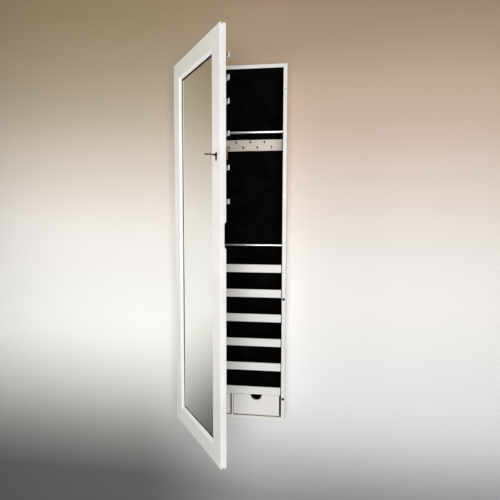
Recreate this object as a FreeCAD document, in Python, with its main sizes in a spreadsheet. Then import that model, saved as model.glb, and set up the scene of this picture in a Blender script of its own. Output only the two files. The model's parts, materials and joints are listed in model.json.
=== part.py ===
"""Jewelry mirror cabinet: a wall-hung case with a mirror door that stands part open.

Units are millimetres. +Z is up and -Y is the front. The origin lies on the wall plane, midway between
the entry holes of the two wall hangers. The door, with its lock and key, is drawn shut and then turned
about its hinge pins by the angle at which it stands open.
"""

import os
import re

import FreeCAD
import Part

os.makedirs("parts", exist_ok=True)
doc = FreeCAD.newDocument("jewelry_mirror_cabinet")

# Driving dimensions: name, value, what it is.
SIZES = [
    ("cabinet_width", 360, "outside width of the case and of the door"),
    ("cabinet_height", 1200, "outside height of the case and of the door"),
    ("case_depth", 100, "from the wall to the front edges of the case"),
    ("board", 12, "thickness of the side, top and bottom panels"),
    ("back_board", 5, "thickness of the back panel"),
    ("back_inset", 6, "how far the back panel stands off the wall"),
    ("velvet", 1.5, "thickness of the lining of the case"),
    ("lining_inset", 0.3, "how far the lining stays behind the front edges"),
    ("hang_drop", 50, "hanger holes below the top of the case"),
    ("hanger_spacing", 220, "between the two hanger holes"),
    ("hanger_sheet", 1.5, "sheet thickness of a hanger"),
    ("hanger_bridge", 26, "width of a hanger's raised bridge"),
    ("hanger_flange", 10, "width of a hanger's flange"),
    ("hanger_above", 20, "hanger above its entry hole's centre"),
    ("hanger_below", 10, "hanger below its entry hole's centre"),
    ("hanger_hole", 5, "radius of the entry hole"),
    ("hanger_slot", 2.6, "half the width of the slot above the entry hole"),
    ("hanger_slot_rise", 11, "height of the slot's top centre"),
    ("hanger_screw_rise", 5, "height of the hanger's screws"),
    ("small_screw", 1.6, "shank radius of a hanger screw"),
    ("small_screw_length", 6, "shank length of a hanger screw"),
    ("small_head", 3, "head radius of a hanger screw"),
    ("small_head_height", 1.8, "head height of a hanger screw"),
    ("rod", 4, "radius of the two rods"),
    ("rod_setback", 50, "rods behind the front edges"),
    ("upper_rod_drop", 208, "upper rod below the top of the case"),
    ("lower_rod_height", 604, "lower rod above the bottom of the case"),
    ("socket", 7, "outside radius of a rod socket"),
    ("socket_length", 3, "length of a rod socket"),
    ("hook_board_drop", 266, "hook board's lower edge below the top of the case"),
    ("hook_board_width", 38.5, "from the lower to the upper edge of the hook board"),
    ("hook_board_thickness", 9, "thickness of the hook board"),
    ("hook_pitch", 49.5, "between two hooks of one row"),
    ("lower_hooks", 6, "hooks in the lower row"),
    ("lower_hook_rise", 11, "lower row above the hook board's lower edge"),
    ("upper_hooks", 5, "hooks in the upper row"),
    ("upper_hook_rise", 29, "upper row above the hook board's lower edge"),
    ("hook_wire", 1.5, "wire radius of a hook"),
    ("hook_reach", 9, "reach of a hook"),
    ("hook_tip", 3.5, "height of a hook's tip"),
    ("hook_rose", 2.8, "radius of a hook's rose"),
    ("hook_rose_thickness", 1, "thickness of a hook's rose"),
    ("shelves", 6, "shelves, the lowest one over the drawers"),
    ("shelf_board", 5, "thickness of a shelf board"),
    ("shelf_pitch", 85, "from one shelf to the next"),
    ("lowest_shelf", 89, "lower face of the lowest shelf"),
    ("lip", 5, "thickness of a shelf lip"),
    ("lip_height", 27, "height of a shelf lip"),
    ("lip_gap", 1.2, "from the end of a lip to the lining"),
    ("divider", 5.2, "thickness of the drawer divider"),
    ("divider_shift", 1.7, "from the middle of the case to the divider's, to the left"),
    ("drawer_gap_left", 4.7, "from the left drawer's front to the divider"),
    ("drawer_gap_right", 1.3, "from the divider to the right drawer's front"),
    ("drawer_gap_side", 5.3, "from a drawer front to the lining"),
    ("drawer_front", 9, "thickness of a drawer front"),
    ("drawer_front_rise", 4.5, "drawer front above the bottom panel"),
    ("drawer_front_gap", 0.9, "from a drawer front to the shelf above it"),
    ("drawer_running_gap", 0.3, "under the drawer's boards"),
    ("drawer_board", 5, "thickness of a drawer's side and back boards"),
    ("drawer_board_height", 57, "height of a drawer's side and back boards"),
    ("drawer_base", 3, "thickness of a drawer's bottom board"),
    ("drawer_base_rise", 3, "bottom board above the side boards' lower edge"),
    ("drawer_side_inset", 1, "side boards in from the ends of the front"),
    ("drawer_back_gap", 3, "from a drawer's back to the lining"),
    ("notch", 19.5, "radius of a drawer's finger notch"),
    ("open_angle", 53.5, "how far the door stands open, in degrees"),
    ("door_gap", 2.4, "from the case to the shut door"),
    ("door_thickness", 18, "thickness of the door"),
    ("door_back_board", 6.5, "thickness of the door's back board"),
    ("frame_flat", 50, "flat width of the door frame"),
    ("frame_step", 0.8, "width of the step inside the flat"),
    ("frame_step_depth", 2.5, "depth of that step"),
    ("frame_bevel", 7.2, "width of the bevel inside the step"),
    ("frame_lip", 1, "thickness of the bevel's inner edge"),
    ("frame_edge", 1, "chamfer on the outer edge of the door frame"),
    ("groove_width", 5, "width of the groove around the door's edge"),
    ("groove_depth", 3, "depth of that groove"),
    ("groove_rise", 2, "groove in front of the frame's back face"),
    ("mirror_thickness", 4, "thickness of the mirror"),
    ("mirror_cover", 5.7, "how far the frame covers the mirror's edge"),
    ("seal_width", 6.5, "width of the dark seal around the mirror"),
    ("seal_foot", 3.5, "width of that seal along the bottom"),
    ("seal_thickness", 0.6, "thickness of that seal"),
    ("door_velvet", 1.2, "thickness of the lining on the door"),
    ("door_velvet_margin", 2, "from that lining to the case's opening"),
    ("pull_height", 612, "lower end of the finger pull"),
    ("pull_length", 75, "length of the finger pull"),
    ("pull_width", 15, "width of the finger pull"),
    ("pull_depth", 5, "depth of the finger pull at the door's edge"),
    ("pull_inner_depth", 1.25, "depth of the finger pull at its inner side"),
    ("pull_slope", 12, "sloped length at each end of the finger pull"),
    ("rail_inset", 40, "from the door's edge to the ends of the earring rails"),
    ("rail_reach", 29, "reach of an earring rail"),
    ("rail_flange", 15, "height of a rail's flange"),
    ("rail_lip", 13.5, "height of a rail's lip"),
    ("rail_lip_thickness", 3.5, "thickness of a rail's lip"),
    ("rail_sheet", 1.2, "thickness of a rail's flange and ledge"),
    ("rail_hole", 1.5, "radius of an earring hole"),
    ("rail_holes", 12, "earring holes in a rail"),
    ("rail_drop_a", 67, "ledge of the topmost rail below the top of the case"),
    ("rail_drop_b", 126, "ledge of the second rail below the top of the case"),
    ("rail_drop_c", 189.5, "ledge of the third rail below the top of the case"),
    ("rail_drop_d", 277, "ledge of the fourth rail below the top of the case"),
    ("rail_drop_e", 370.5, "ledge of the fifth rail below the top of the case"),
    ("rail_drop_f", 464, "ledge of the lowest rail below the top of the case"),
    ("hinge_margin", 130, "from the door's ends to the outer hinges' middles"),
    ("hinge_length", 60, "length of a hinge"),
    ("hinge_leaf", 1, "thickness of a hinge leaf"),
    ("hinge_leaf_width", 11, "width of a hinge leaf"),
    ("knuckle", 3, "outside radius of a hinge's knuckles"),
    ("knuckle_gap", 0.3, "between two knuckles, and from the knuckles to the case"),
    ("hinge_pin", 1.2, "radius of a hinge pin"),
    ("pin_clearance", 0.05, "around a hinge pin and around the lock plug"),
    ("pin_head", 2.4, "radius of a hinge pin's ends"),
    ("pin_head_height", 1.2, "height of a hinge pin's ends"),
    ("hinge_screw", 1.5, "shank radius of a hinge screw"),
    ("hinge_screw_head", 2.6, "head radius of a hinge screw"),
    ("hinge_screw_length", 12, "shank length of a hinge screw"),
    ("hinge_screw_pitch", 20, "between two screws of a hinge leaf"),
    ("catch_low", 77, "lowest door stop above the bottom of the case"),
    ("catch_high", 82, "highest door stop below the top of the case"),
    ("catch_spaces", 3, "spaces between the four door stops"),
    ("magnet", 4, "radius of a magnet"),
    ("magnet_proud", 1.2, "how far a magnet stands proud"),
    ("magnet_length", 11, "length of a magnet"),
    ("bumper", 5, "radius of a bumper's foot"),
    ("bumper_top", 3.8, "radius of a bumper's top"),
    ("bumper_proud", 2.1, "how far a bumper stands proud"),
    ("bumper_stem", 2, "radius of a bumper's stem"),
    ("bumper_stem_length", 8, "length of a bumper's stem"),
    ("strike", 5.5, "radius of a strike plate on the door"),
    ("strike_thickness", 1, "thickness of that plate"),
    ("lock_height", 865, "key above the bottom of the case"),
    ("lock_inset", 23, "key in from the free edge of the door"),
    ("plug", 3, "radius of the lock plug"),
    ("plug_hole", 3.3, "radius of the hole for the plug"),
    ("housing_width", 20, "width of the lock housing"),
    ("housing_height", 35, "height of the lock housing"),
    ("housing_depth", 12.5, "depth of the lock housing"),
    ("housing_below", 12, "housing below the plug"),
    ("housing_side", 8, "housing beyond the plug, towards the free edge"),
    ("housing_clearance", 1, "lining around the lock housing"),
    ("cam_gap", 0.3, "from the lock housing to the cam"),
    ("cam_thickness", 2, "thickness of the lock's cam"),
    ("cam_width", 8, "width of the cam"),
    ("cam_reach", 16, "reach of the cam from the plug's axis"),
    ("mortise_depth", 10, "depth of the mortise for the cam"),
    ("mortise_width", 6, "width of that mortise, front to back"),
    ("mortise_above", 16, "mortise above the plug's height"),
    ("mortise_below", 8, "mortise below the plug's height"),
    ("keeper_rim", 4, "rim of the keeper plate around the mortise"),
    ("keeper_thickness", 1, "thickness of the keeper plate"),
    ("scutcheon_head", 6.5, "radius of the key plate's head"),
    ("scutcheon_foot", 3.5, "radius of the key plate's foot"),
    ("scutcheon_drop", 12.5, "from the head's to the foot's centre"),
    ("scutcheon_waist", 4.5, "width of the key plate's waist"),
    ("scutcheon_thickness", 1.2, "thickness of the key plate"),
    ("blade_width", 4.4, "width of the key's blade"),
    ("blade_thickness", 1.6, "thickness of the key's blade"),
    ("blade_length", 16, "length of the blade in the plug"),
    ("keyway_clearance", 0.1, "around the key's blade"),
    ("keyway_depth", 18, "depth of the keyway"),
    ("shank_gap", 0.3, "from the plug's face to the key's shank"),
    ("key_shank", 2, "radius of the key's shank"),
    ("key_reach", 33, "how far the key stands out of the door"),
    ("bow_radius", 10, "outside radius of the key's bow"),
    ("bow_hole", 6, "radius of the opening in the bow"),
    ("bow_thickness", 2.6, "thickness of the bow"),
    ("collar_radius", 2.9, "radius of the collars on the shank"),
    ("collar_length", 1.6, "length of a collar"),
]

# Places worked out from the driving dimensions.
DERIVED = {
    "half": "cabinet_width / 2",
    "inner": "half - board",
    "lined": "inner - velvet",
    "top_z": "hang_drop",
    "base_z": "top_z - cabinet_height",
    "floor_z": "base_z + board",
    "ceiling_z": "top_z - board",
    "inside_height": "cabinet_height - 2 * board",
    "front_y": "-case_depth",
    "lining_y": "front_y + lining_inset",
    "back_y": "-back_inset - back_board",
    "velvet_y": "back_y - velvet",
    "lined_depth": "velvet_y - lining_y",
    "hook_board_z": "top_z - hook_board_drop",
    "hook_board_y": "velvet_y - hook_board_thickness",
    "shelf_y": "front_y + lip",
    "divider_x": "-divider_shift - divider / 2",
    "drawer_end_x": "lined - drawer_gap_side",
    "left_drawer_width": "drawer_end_x + divider_x - drawer_gap_left",
    "right_drawer_x": "divider_x + divider + drawer_gap_right",
    "right_drawer_width": "drawer_end_x - right_drawer_x",
    "drawer_front_z": "floor_z + drawer_front_rise",
    "drawer_front_top": "base_z + lowest_shelf - drawer_front_gap",
    "drawer_board_y": "front_y + drawer_front",
    "drawer_board_z": "floor_z + drawer_running_gap",
    "drawer_back_y": "velvet_y - drawer_back_gap - drawer_board",
    "pin_x": "-half - knuckle - knuckle_gap",
    "pin_y": "front_y - door_gap / 2",
    "door_y": "front_y - door_gap",
    "door_front_y": "door_y - door_thickness",
    "frame_y": "door_y - door_back_board",
    "frame_thickness": "door_thickness - door_back_board",
    "frame_width": "frame_flat + frame_step + frame_bevel",
    "mirror_inset": "frame_width - mirror_cover",
    "mirror_y": "frame_y - mirror_thickness",
    "door_velvet_y": "door_y + door_velvet",
    "lining_half": "inner - door_velvet_margin",
    "catch_x": "half - board / 2",
    "catch_pitch": "(cabinet_height - catch_low - catch_high) / catch_spaces",
    "key_x": "half - lock_inset",
    "key_z": "base_z + lock_height",
    "housing_x": "key_x + housing_side - housing_width",
    "housing_z": "key_z - housing_below",
    "cam_y": "door_y + housing_depth + cam_gap",
    "keeper_z": "key_z - mortise_below - keeper_rim",
    "keeper_height": "mortise_below + mortise_above + 2 * keeper_rim",
    "mortise_y": "cam_y + cam_thickness / 2 - mortise_width / 2",
    "keeper_y": "mortise_y - keeper_rim",
    "keeper_width": "mortise_width + 2 * keeper_rim",
    "scutcheon_y": "door_front_y - scutcheon_thickness",
}

sheet = doc.addObject("Spreadsheet::Sheet", "Sizes")
for row, (alias, number, meaning) in enumerate(SIZES, start=1):
    sheet.set(f"A{row}", meaning)
    sheet.set(f"B{row}", str(number))
    sheet.setAlias(f"B{row}", alias)
doc.recompute()
ALIASES = {alias for alias, _, _ in SIZES}


def bound(text):
    """Write a formula of plain names as a formula of the sheet's cells."""

    def cell(match):
        word = match.group(0)
        if word in DERIVED:
            return f"({bound(DERIVED[word])})"
        return f"Sizes.{word}" if word in ALIASES else word

    return re.sub(r"[a-z][a-z_]*", cell, str(text))


def count(alias):
    """Read a whole number from the sheet."""
    return round(float(sheet.get(alias)))


def turn(axis, angle):
    """Formula of a rotation about one axis."""
    vector = {"x": "1; 0; 0", "y": "0; 1; 0", "z": "0; 0; 1"}[axis]
    return f"rotation(vector({vector}); {bound(angle)})"


NO_TURN = turn("z", "0")
TO_BACK = turn("x", "-90")  # a cylinder's axis points to +Y
TO_FRONT = turn("x", "90")  # a cylinder's axis points to -Y
TO_RIGHT = turn("y", "90")  # a cylinder's axis points to +X
SWING = (
    f"placement(vector({bound('pin_x')}; {bound('pin_y')}; 0); {turn('z', '-open_angle')})"
    f" * placement(vector({bound('-(pin_x)')}; {bound('-(pin_y)')}; 0); {NO_TURN})"
)


def put(item, at, turned=NO_TURN, on_door=False):
    """Place an object by formula; a door piece is placed as if the door were shut."""
    where = "; ".join(bound(coordinate) for coordinate in at)
    placed = f"placement(vector({where}); {turned})"
    item.setExpression("Placement", f"{SWING} * {placed}" if on_door else placed)
    return item


def bind(kind, **formulas):
    """Make a Part object whose properties follow formulas."""
    item = doc.addObject(kind, kind.split("::")[1])
    for name, formula in formulas.items():
        item.setExpression(name, bound(formula))
    return item


def block(at, size, on_door=False):
    """A box from its low corner and its size."""
    length, width, height = size
    box = bind("Part::Box", Length=length, Width=width, Height=height)
    return put(box, at, on_door=on_door)


def rod(at, radius, length, turned=NO_TURN, on_door=False):
    """A cylinder from the centre of its first end."""
    return put(bind("Part::Cylinder", Radius=radius, Height=length), at, turned, on_door)


def cone(at, first, last, length, turned=NO_TURN, on_door=False):
    """A cone from the centre of its first end."""
    item = bind("Part::Cone", Radius1=first, Radius2=last, Height=length)
    return put(item, at, turned, on_door)


def ball(at, radius, on_door=False):
    """A sphere from its centre."""
    return put(bind("Part::Sphere", Radius=radius), at, on_door=on_door)


def fuse(*items):
    """One solid from several that overlap or touch."""
    joined = doc.addObject("Part::MultiFuse", "Fuse")
    joined.Shapes = list(items)
    joined.Refine = True
    return joined


def group(*items):
    """Separate solids side by side."""
    together = doc.addObject("Part::Compound", "Group")
    together.Links = list(items)
    return together


def cut(body, *tools):
    """A body without the space of some tools."""
    rest = doc.addObject("Part::Cut", "Cut")
    rest.Base = body
    rest.Tool = tools[0] if len(tools) == 1 else group(*tools)
    rest.Refine = True
    return rest


nodes = {}


def node(name, item):
    """Keep an object as a sub-part under its own name."""
    item.Label = name
    nodes[name] = item


# Hinges: three, each with two leaves, interleaved knuckles, a pin and countersunk screws.

HINGES = [
    "base_z + hinge_margin",
    "base_z + cabinet_height / 2",
    "top_z - hinge_margin",
]
KNUCKLES = 5
HINGE_SCREWS = (-1, 0, 1)
SCREW_X = "-half + hinge_leaf_width / 2"


def hinge_leaf(middle, first_knuckle, leaf_y, on_door):
    """A leaf at a height, with every second knuckle from the first one given."""
    low = f"{middle} - hinge_length / 2"
    parts = [block(("-half", leaf_y, low), ("hinge_leaf_width", "hinge_leaf", "hinge_length"), on_door)]
    for index in range(first_knuckle, KNUCKLES, 2):
        start = f"{low} + {index} * hinge_length / {KNUCKLES} + knuckle_gap / 2"
        length = f"hinge_length / {KNUCKLES} - knuckle_gap"
        parts.append(rod(("pin_x", "pin_y", start), "knuckle", length, on_door=on_door))
        parts.append(block(("pin_x", leaf_y, start), ("-half - pin_x", "hinge_leaf", length), on_door))
    bore = rod(("pin_x", "pin_y", low), "hinge_pin + pin_clearance", "hinge_length", on_door=on_door)
    return cut(fuse(*parts), bore, *[screw_head(z, on_door) for z in screw_heights(middle)])


def screw_heights(middle):
    """Heights of a leaf's screws."""
    return [f"{middle} + {step} * hinge_screw_pitch" for step in HINGE_SCREWS]


def screw_head(height, on_door):
    """Countersunk head of a hinge screw, flush with the leaf."""
    if on_door:
        at = (SCREW_X, "door_y", height)
        return cone(at, "hinge_screw", "hinge_screw_head", "hinge_leaf", TO_BACK, True)
    at = (SCREW_X, "front_y", height)
    return cone(at, "hinge_screw", "hinge_screw_head", "hinge_leaf", TO_FRONT)


def screw_shank(height, on_door):
    """Shank of a hinge screw, and the hole that it sits in."""
    if on_door:
        return rod((SCREW_X, "door_y", height), "hinge_screw", "hinge_screw_length", TO_FRONT, True)
    return rod((SCREW_X, "front_y", height), "hinge_screw", "hinge_screw_length", TO_BACK)


def all_screw_heights():
    """Heights of the screws of all hinges."""
    return [height for middle in HINGES for height in screw_heights(middle)]


def hinge_screws(on_door):
    """All hinge screws of the case or of the door."""
    return [fuse(screw_head(z, on_door), screw_shank(z, on_door)) for z in all_screw_heights()]


def hinge_pin(middle):
    """A pin through one hinge, with a head at each end."""
    low = f"{middle} - hinge_length / 2"
    shaft = rod(("pin_x", "pin_y", low), "hinge_pin", "hinge_length")
    foot = rod(("pin_x", "pin_y", f"{low} - pin_head_height"), "pin_head", "pin_head_height")
    head = rod(("pin_x", "pin_y", f"{low} + hinge_length"), "pin_head", "pin_head_height")
    return fuse(shaft, foot, head)


node("hinge_frame_leaves", group(*[hinge_leaf(z, 0, "front_y - hinge_leaf", False) for z in HINGES]))
node("hinge_door_leaves", group(*[hinge_leaf(z, 1, "door_y", True) for z in HINGES]))
node("hinge_pins", group(*[hinge_pin(z) for z in HINGES]))
node("hinge_frame_screws", group(*hinge_screws(False)))
node("hinge_door_screws", group(*hinge_screws(True)))

# Door stops on the right panel's front edge: two bumpers below, two magnets above.


def catch_z(index):
    """Height of a door stop, counted from the lowest."""
    return f"base_z + catch_low + {index} * catch_pitch"


MAGNETS = (2, 3)
BUMPERS = (0, 1)


def magnet(index):
    """A magnet let into the panel's edge."""
    at = ("catch_x", "front_y - magnet_proud", catch_z(index))
    return rod(at, "magnet", "magnet_length", TO_BACK)


def bumper_stem(index):
    """The stem of a bumper, which is also its hole."""
    return rod(("catch_x", "front_y", catch_z(index)), "bumper_stem", "bumper_stem_length", TO_BACK)


def bumper(index):
    """A tapered bumper on a stem."""
    at = ("catch_x", "front_y", catch_z(index))
    foot = cone(at, "bumper", "bumper_top", "bumper_proud", TO_FRONT)
    return fuse(foot, bumper_stem(index))


node("door_magnets", group(*[magnet(index) for index in MAGNETS]))
node("door_bumpers", group(*[bumper(index) for index in BUMPERS]))
node(
    "magnet_strike_plates",
    group(
        *[
            rod(("catch_x", "door_y", catch_z(index)), "strike", "strike_thickness", TO_BACK, True)
            for index in MAGNETS
        ]
    ),
)

# Case: panels, lining and wall hangers.


def side_panel(low_x):
    """A full side board."""
    return block((low_x, "front_y", "base_z"), ("board", "case_depth", "cabinet_height"))


mortise = block(
    ("inner", "mortise_y", "key_z - mortise_below"),
    ("mortise_depth", "mortise_width", "mortise_below + mortise_above"),
)
node("side_panel_left", cut(side_panel("-half"), *[screw_shank(z, False) for z in all_screw_heights()]))
node(
    "side_panel_right",
    cut(
        side_panel("inner"),
        mortise,
        *[magnet(index) for index in MAGNETS],
        *[bumper_stem(index) for index in BUMPERS],
    ),
)
node("top_panel", block(("-inner", "front_y", "ceiling_z"), ("2 * inner", "case_depth", "board")))
node("bottom_panel", block(("-inner", "front_y", "base_z"), ("2 * inner", "case_depth", "board")))

HANGER_SIDES = (-1, 1)


def hanger_screw_places(side):
    """Across and height of a hanger's two screws."""
    reach = "(hanger_bridge / 2 + hanger_flange / 2)"
    return [(f"{side} * hanger_spacing / 2 + {end} * {reach}", "hanger_screw_rise") for end in (-1, 1)]


def hanger_screw_shank(x, z):
    """Shank of a hanger screw, which is also its hole."""
    return rod((x, "hanger_sheet - back_inset", z), "small_screw", "small_screw_length", TO_FRONT)


def hanger_screw(x, z):
    """A pan-head screw that holds a hanger's flange."""
    at = (x, "hanger_sheet - back_inset", z)
    return fuse(rod(at, "small_head", "small_head_height", TO_BACK), hanger_screw_shank(x, z))


def hanger(side):
    """A bridge of sheet metal with an entry hole and a slot above it."""
    middle = f"{side} * hanger_spacing / 2"
    height = "hanger_above + hanger_below"
    web = f"{middle} + hanger_bridge / 2"
    parts = [
        block(
            (f"{middle} - hanger_bridge / 2", "-hanger_sheet", "-hanger_below"),
            ("hanger_bridge", "hanger_sheet", height),
        )
    ]
    for edge, flange in (
        (f"{middle} - hanger_bridge / 2", f"{middle} - hanger_bridge / 2 - hanger_flange"),
        (f"{web} - hanger_sheet", f"{web} - hanger_sheet"),
    ):
        parts.append(block((edge, "-back_inset", "-hanger_below"), ("hanger_sheet", "back_inset", height)))
        parts.append(
            block(
                (flange, "-back_inset", "-hanger_below"),
                ("hanger_flange + hanger_sheet", "hanger_sheet", height),
            )
        )
    entry = rod((middle, "-hanger_sheet", "0"), "hanger_hole", "hanger_sheet", TO_BACK)
    top = rod((middle, "-hanger_sheet", "hanger_slot_rise"), "hanger_slot", "hanger_sheet", TO_BACK)
    slot = block(
        (f"{middle} - hanger_slot", "-hanger_sheet", "0"),
        ("2 * hanger_slot", "hanger_sheet", "hanger_slot_rise"),
    )
    shanks = [hanger_screw_shank(x, z) for x, z in hanger_screw_places(side)]
    return cut(fuse(*parts), fuse(entry, top, slot), *shanks)


hanger_places = [place for side in HANGER_SIDES for place in hanger_screw_places(side)]
node("wall_hangers", group(*[hanger(side) for side in HANGER_SIDES]))
node("hanger_screws", group(*[hanger_screw(x, z) for x, z in hanger_places]))
back_panel = block(("-inner", "back_y", "floor_z"), ("2 * inner", "back_board", "inside_height"))
node("back_panel", cut(back_panel, *[hanger_screw_shank(x, z) for x, z in hanger_places]))

node("velvet_back", block(("-inner", "velvet_y", "floor_z"), ("2 * inner", "velvet", "inside_height")))
node(
    "velvet_top",
    block(("-inner", "lining_y", "ceiling_z - velvet"), ("2 * inner", "lined_depth", "velvet")),
)
side_lining = ("velvet", "lined_depth", "inside_height - velvet")
keeper_window = block(("lined", "keeper_y", "keeper_z"), ("velvet", "keeper_width", "keeper_height"))
node(
    "velvet_sides",
    group(
        block(("-inner", "lining_y", "floor_z"), side_lining),
        cut(block(("lined", "lining_y", "floor_z"), side_lining), keeper_window),
    ),
)
keeper = block(
    ("inner - keeper_thickness", "keeper_y", "keeper_z"),
    ("keeper_thickness", "keeper_width", "keeper_height"),
)
keeper_slot = block(
    ("inner - keeper_thickness", "mortise_y", "key_z - mortise_below"),
    ("keeper_thickness", "mortise_width", "mortise_below + mortise_above"),
)
node("lock_keeper_plate", cut(keeper, keeper_slot))

# Rods in their sockets.

ROD_Y = "front_y + rod_setback"
RODS = {"upper_rod": "top_z - upper_rod_drop", "lower_rod": "base_z + lower_rod_height"}
sockets = []
for name, height in RODS.items():
    node(name, rod(("-lined", ROD_Y, height), "rod", "2 * lined", TO_RIGHT))
    for end in ("-lined", "lined - socket_length"):
        ring = rod((end, ROD_Y, height), "socket", "socket_length", TO_RIGHT)
        sockets.append(cut(ring, rod((end, ROD_Y, height), "rod", "socket_length", TO_RIGHT)))
node("rod_sockets", group(*sockets))

# Hook board with two staggered rows of hooks.


def hook(x, rise):
    """A hook of bent wire with a rose on the board."""
    height = f"hook_board_z + {rise}"
    tip_y = "hook_board_y - hook_reach"
    return fuse(
        rod((x, "hook_board_y", height), "hook_rose", "hook_rose_thickness", TO_FRONT),
        rod((x, "hook_board_y", height), "hook_wire", "hook_reach", TO_FRONT),
        ball((x, tip_y, height), "hook_wire"),
        rod((x, tip_y, height), "hook_wire", "hook_tip"),
        ball((x, tip_y, f"{height} + hook_tip"), "hook_wire"),
    )


def hook_row(alias, rise):
    """A centred row of hooks."""
    number = count(alias)
    return [hook(f"({index} - {(number - 1) / 2}) * hook_pitch", rise) for index in range(number)]


node(
    "hook_board",
    block(
        ("-lined", "hook_board_y", "hook_board_z"),
        ("2 * lined", "hook_board_thickness", "hook_board_width"),
    ),
)
node(
    "necklace_hooks",
    group(*hook_row("lower_hooks", "lower_hook_rise"), *hook_row("upper_hooks", "upper_hook_rise")),
)

# Shelves, numbered from the top, each a board with a lip in front.

for index in range(count("shelves")):
    number = count("shelves") - index
    height = f"base_z + lowest_shelf + {index} * shelf_pitch"
    node(
        f"shelf_board_{number}",
        block(("-lined", "shelf_y", height), ("2 * lined", "velvet_y - shelf_y", "shelf_board")),
    )
    node(
        f"shelf_lip_{number}",
        block(("lip_gap - lined", "front_y", height), ("2 * (lined - lip_gap)", "lip", "lip_height")),
    )

# Drawers on both sides of a divider.

node(
    "drawer_divider",
    block(("divider_x", "front_y", "floor_z"), ("divider", "velvet_y - front_y", "lowest_shelf - board")),
)
side_board = ("drawer_board", "drawer_back_y + drawer_board - drawer_board_y", "drawer_board_height")
for side, low_x in (("left", "-drawer_end_x"), ("right", "right_drawer_x")):
    drawer_width = f"{side}_drawer_width"
    front = block(
        (low_x, "front_y", "drawer_front_z"),
        (drawer_width, "drawer_front", "drawer_front_top - drawer_front_z"),
    )
    finger = rod(
        (f"{low_x} + {drawer_width} / 2", "front_y", "drawer_front_top"), "notch", "drawer_front", TO_BACK
    )
    node(f"drawer_{side}_front", cut(front, finger))
    first = f"{low_x} + drawer_side_inset"
    last = f"{low_x} + {drawer_width} - drawer_side_inset - drawer_board"
    inside = f"{first} + drawer_board"
    inside_width = f"{drawer_width} - 2 * drawer_side_inset - 2 * drawer_board"
    node(
        f"drawer_{side}_sides",
        group(
            *[
                block((x, "drawer_board_y", "drawer_board_z"), side_board)
                for x in (first, last)
            ]
        ),
    )
    node(
        f"drawer_{side}_back",
        block(
            (inside, "drawer_back_y", "drawer_board_z"),
            (inside_width, "drawer_board", "drawer_board_height"),
        ),
    )
    node(
        f"drawer_{side}_bottom",
        block(
            (inside, "drawer_board_y", "drawer_board_z + drawer_base_rise"),
            (inside_width, "drawer_back_y - drawer_board_y", "drawer_base"),
        ),
    )

# Door frame: four mitred members, each with a flat, a step and a bevel towards the mirror.


def strip(length, outer, inner, outer_face, inner_face, back="0"):
    """A mitred strip of a member between two distances from its outer edge."""
    return bind(
        "Part::Wedge",
        Xmin=outer,
        Xmax=f"{length} - ({outer})",
        X2min=inner,
        X2max=f"{length} - ({inner})",
        Ymin=outer,
        Ymax=inner,
        Zmin=back,
        Z2min=back,
        Zmax=outer_face,
        Z2max=inner_face,
    )


def frame_member(length, corner, angle, *holes):
    """A member laid from a corner of the door, turned about the door's normal."""
    face = "frame_thickness"
    step_face = "frame_thickness - frame_step_depth"
    step_end = "frame_flat + frame_step"
    lip_face = "mirror_thickness + frame_lip"
    groove_face = "groove_rise + groove_width"
    solid = fuse(
        strip(length, "0", "frame_edge", "frame_thickness - frame_edge", face),
        strip(length, "frame_edge", "frame_flat", face, face),
        strip(length, "frame_flat", step_end, face, step_face),
        strip(length, step_end, "frame_width", step_face, lip_face),
    )
    rebate = strip(length, "mirror_inset", "frame_width", "mirror_thickness", "mirror_thickness")
    groove = strip(length, "0", "groove_depth", groove_face, groove_face, "groove_rise")
    member = cut(solid, rebate, groove)
    put(member, corner, f"{turn('y', angle)} * {TO_FRONT}", True)
    return cut(member, *holes) if holes else member


plug_hole = rod(("key_x", "door_front_y", "key_z"), "plug_hole", "door_thickness", TO_BACK, True)
door_screw_holes = [screw_shank(z, True) for z in all_screw_heights()]
node("door_bottom_rail", frame_member("cabinet_width", ("-half", "frame_y", "base_z"), "0"))
node("door_top_rail", frame_member("cabinet_width", ("half", "frame_y", "top_z"), "180"))
node("door_lock_stile", frame_member("cabinet_height", ("half", "frame_y", "base_z"), "-90", plug_hole))
node(
    "door_hinge_stile",
    frame_member("cabinet_height", ("-half", "frame_y", "top_z"), "90", *door_screw_holes),
)

finger_pull = bind(
    "Part::Wedge",
    Xmin="0",
    Xmax="pull_length",
    X2min="pull_slope",
    X2max="pull_length - pull_slope",
    Ymin="0",
    Ymax="pull_width",
    Zmin="0",
    Z2min="0",
    Zmax="pull_depth",
    Z2max="pull_inner_depth",
)
put(finger_pull, ("half", "door_y", "base_z + pull_height"), f"{turn('y', '-90')} * {TO_FRONT}", True)
door_board = block(
    ("-half", "frame_y", "base_z"), ("cabinet_width", "door_back_board", "cabinet_height"), True
)
node("door_back_board", cut(door_board, finger_pull, plug_hole, *door_screw_holes))

node(
    "mirror",
    block(
        ("mirror_inset - half", "mirror_y", "base_z + mirror_inset"),
        ("cabinet_width - 2 * mirror_inset", "mirror_thickness", "cabinet_height - 2 * mirror_inset"),
        True,
    ),
)


def seal_block(inset, foot):
    """A slab on the mirror, in from the door's edges and up from its bottom."""
    return block(
        (f"{inset} - half", "mirror_y - seal_thickness", f"base_z + {foot}"),
        (f"cabinet_width - 2 * ({inset})", "seal_thickness", f"cabinet_height - ({inset}) - ({foot})"),
        True,
    )


seal = seal_block("frame_width", "frame_width")
node("mirror_seal", cut(seal, seal_block("frame_width + seal_width", "frame_width + seal_foot")))

# Back of the door: lining and earring rails.

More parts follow.
